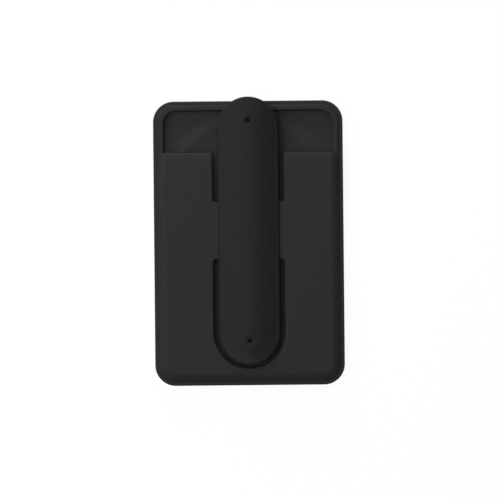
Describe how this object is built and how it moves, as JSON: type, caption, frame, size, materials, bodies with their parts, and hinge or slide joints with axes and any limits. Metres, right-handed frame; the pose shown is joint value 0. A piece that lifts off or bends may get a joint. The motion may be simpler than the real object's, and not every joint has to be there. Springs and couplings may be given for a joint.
{
  "type": "magnetic phone card holder with snap strap stand",
  "caption": "Soft card pocket with magnets in its back, for the rear of a phone, and a sprung strap that curls up into a finger grip or stand.",
  "frame": {"origin": "middle of the body's outline, on the flat back face", "axes": "+Z is the way the front faces, +Y is towards the open end where cards go in, +X is right as seen from the front"},
  "size_m": [0.064, 0.0972, 0.0095],
  "materials": {
    "silicone": "fine matt moulded silicone",
    "strap_silicone": "fine matt moulded silicone",
    "liner": "soft matt synthetic leather",
    "spring_steel": "rolled spring steel",
    "nickel": "nickel plating"
  },
  "bodies": {
    "holder": {"pocket_body": "silicone", "spring_strip": "spring_steel", "back_cover": "liner", "shield_ring": "spring_steel", "bar_magnet": "nickel", "ring_magnet_01": "nickel", "ring_magnet_02": "nickel", "ring_magnet_03": "nickel", "ring_magnet_04": "nickel", "ring_magnet_05": "nickel", "ring_magnet_06": "nickel", "ring_magnet_07": "nickel", "ring_magnet_08": "nickel", "ring_magnet_09": "nickel", "ring_magnet_10": "nickel", "ring_magnet_11": "nickel", "ring_magnet_12": "nickel", "ring_magnet_13": "nickel", "ring_magnet_14": "nickel", "ring_magnet_15": "nickel", "ring_magnet_16": "nickel", "ring_magnet_17": "nickel", "ring_magnet_18": "nickel"},
    "upper_link_1": {"upper_strap_link_1": "strap_silicone"},
    "upper_link_2": {"upper_strap_link_2": "strap_silicone"},
    "upper_link_3": {"upper_strap_link_3": "strap_silicone"},
    "upper_link_4": {"upper_strap_link_4": "strap_silicone"},
    "upper_link_5": {"upper_strap_link_5": "strap_silicone"},
    "upper_link_6": {"upper_strap_link_6": "strap_silicone"},
    "upper_tip": {"upper_strap_tip": "strap_silicone"},
    "lower_link_1": {"lower_strap_link_1": "strap_silicone"},
    "lower_link_2": {"lower_strap_link_2": "strap_silicone"},
    "lower_link_3": {"lower_strap_link_3": "strap_silicone"},
    "lower_link_4": {"lower_strap_link_4": "strap_silicone"},
    "lower_link_5": {"lower_strap_link_5": "strap_silicone"},
    "lower_link_6": {"lower_strap_link_6": "strap_silicone"},
    "lower_tip": {"lower_strap_tip": "strap_silicone"}
  },
  "joints": [
    {"name": "upper_strap_bend", "type": "hinge", "parent": "holder", "child": "upper_link_1", "pos_m": [0, 0.0141, 0.00955], "axis": [1, 0, 0], "range_deg": [0, 20], "deforming": ["spring_strip"]},
    {"name": "upper_strap_bend_2", "type": "hinge", "parent": "upper_link_1", "child": "upper_link_2", "pos_m": [0, 0.01795, 0.00955], "axis": [1, 0, 0], "range_deg": [0, 20]},
    {"name": "upper_strap_bend_3", "type": "hinge", "parent": "upper_link_2", "child": "upper_link_3", "pos_m": [0, 0.0218, 0.00955], "axis": [1, 0, 0], "range_deg": [0, 20]},
    {"name": "upper_strap_bend_4", "type": "hinge", "parent": "upper_link_3", "child": "upper_link_4", "pos_m": [0, 0.02565, 0.00955], "axis": [1, 0, 0], "range_deg": [0, 20]},
    {"name": "upper_strap_bend_5", "type": "hinge", "parent": "upper_link_4", "child": "upper_link_5", "pos_m": [0, 0.0295, 0.00955], "axis": [1, 0, 0], "range_deg": [0, 20]},
    {"name": "upper_strap_bend_6", "type": "hinge", "parent": "upper_link_5", "child": "upper_link_6", "pos_m": [0, 0.03335, 0.00955], "axis": [1, 0, 0], "range_deg": [0, 20]},
    {"name": "upper_strap_bend_7", "type": "hinge", "parent": "upper_link_6", "child": "upper_tip", "pos_m": [0, 0.0372, 0.00955], "axis": [1, 0, 0], "range_deg": [0, 20]},
    {"name": "lower_strap_bend", "type": "hinge", "parent": "holder", "child": "lower_link_1", "pos_m": [0, -0.0057, 0.00955], "axis": [-1, 0, 0], "range_deg": [0, 20], "deforming": ["spring_strip"]},
    {"name": "lower_strap_bend_2", "type": "hinge", "parent": "lower_link_1", "child": "lower_link_2", "pos_m": [0, -0.00955, 0.00955], "axis": [-1, 0, 0], "range_deg": [0, 20]},
    {"name": "lower_strap_bend_3", "type": "hinge", "parent": "lower_link_2", "child": "lower_link_3", "pos_m": [0, -0.0134, 0.00955], "axis": [-1, 0, 0], "range_deg": [0, 20]},
    {"name": "lower_strap_bend_4", "type": "hinge", "parent": "lower_link_3", "child": "lower_link_4", "pos_m": [0, -0.01725, 0.00955], "axis": [-1, 0, 0], "range_deg": [0, 20]},
    {"name": "lower_strap_bend_5", "type": "hinge", "parent": "lower_link_4", "child": "lower_link_5", "pos_m": [0, -0.0211, 0.00955], "axis": [-1, 0, 0], "range_deg": [0, 20]},
    {"name": "lower_strap_bend_6", "type": "hinge", "parent": "lower_link_5", "child": "lower_link_6", "pos_m": [0, -0.02495, 0.00955], "axis": [-1, 0, 0], "range_deg": [0, 20]},
    {"name": "lower_strap_bend_7", "type": "hinge", "parent": "lower_link_6", "child": "lower_tip", "pos_m": [0, -0.0288, 0.00955], "axis": [-1, 0, 0], "range_deg": [0, 20]}
  ],
  "couplings": [
    {"joint": "upper_strap_bend_2", "follows": "upper_strap_bend", "ratio": 1},
    {"joint": "upper_strap_bend_3", "follows": "upper_strap_bend", "ratio": 1},
    {"joint": "upper_strap_bend_4", "follows": "upper_strap_bend", "ratio": 1},
    {"joint": "upper_strap_bend_5", "follows": "upper_strap_bend", "ratio": 1},
    {"joint": "upper_strap_bend_6", "follows": "upper_strap_bend", "ratio": 1},
    {"joint": "upper_strap_bend_7", "follows": "upper_strap_bend", "ratio": 1},
    {"joint": "lower_strap_bend_2", "follows": "lower_strap_bend", "ratio": 1},
    {"joint": "lower_strap_bend_3", "follows": "lower_strap_bend", "ratio": 1},
    {"joint": "lower_strap_bend_4", "follows": "lower_strap_bend", "ratio": 1},
    {"joint": "lower_strap_bend_5", "follows": "lower_strap_bend", "ratio": 1},
    {"joint": "lower_strap_bend_6", "follows": "lower_strap_bend", "ratio": 1},
    {"joint": "lower_strap_bend_7", "follows": "lower_strap_bend", "ratio": 1}
  ]
}
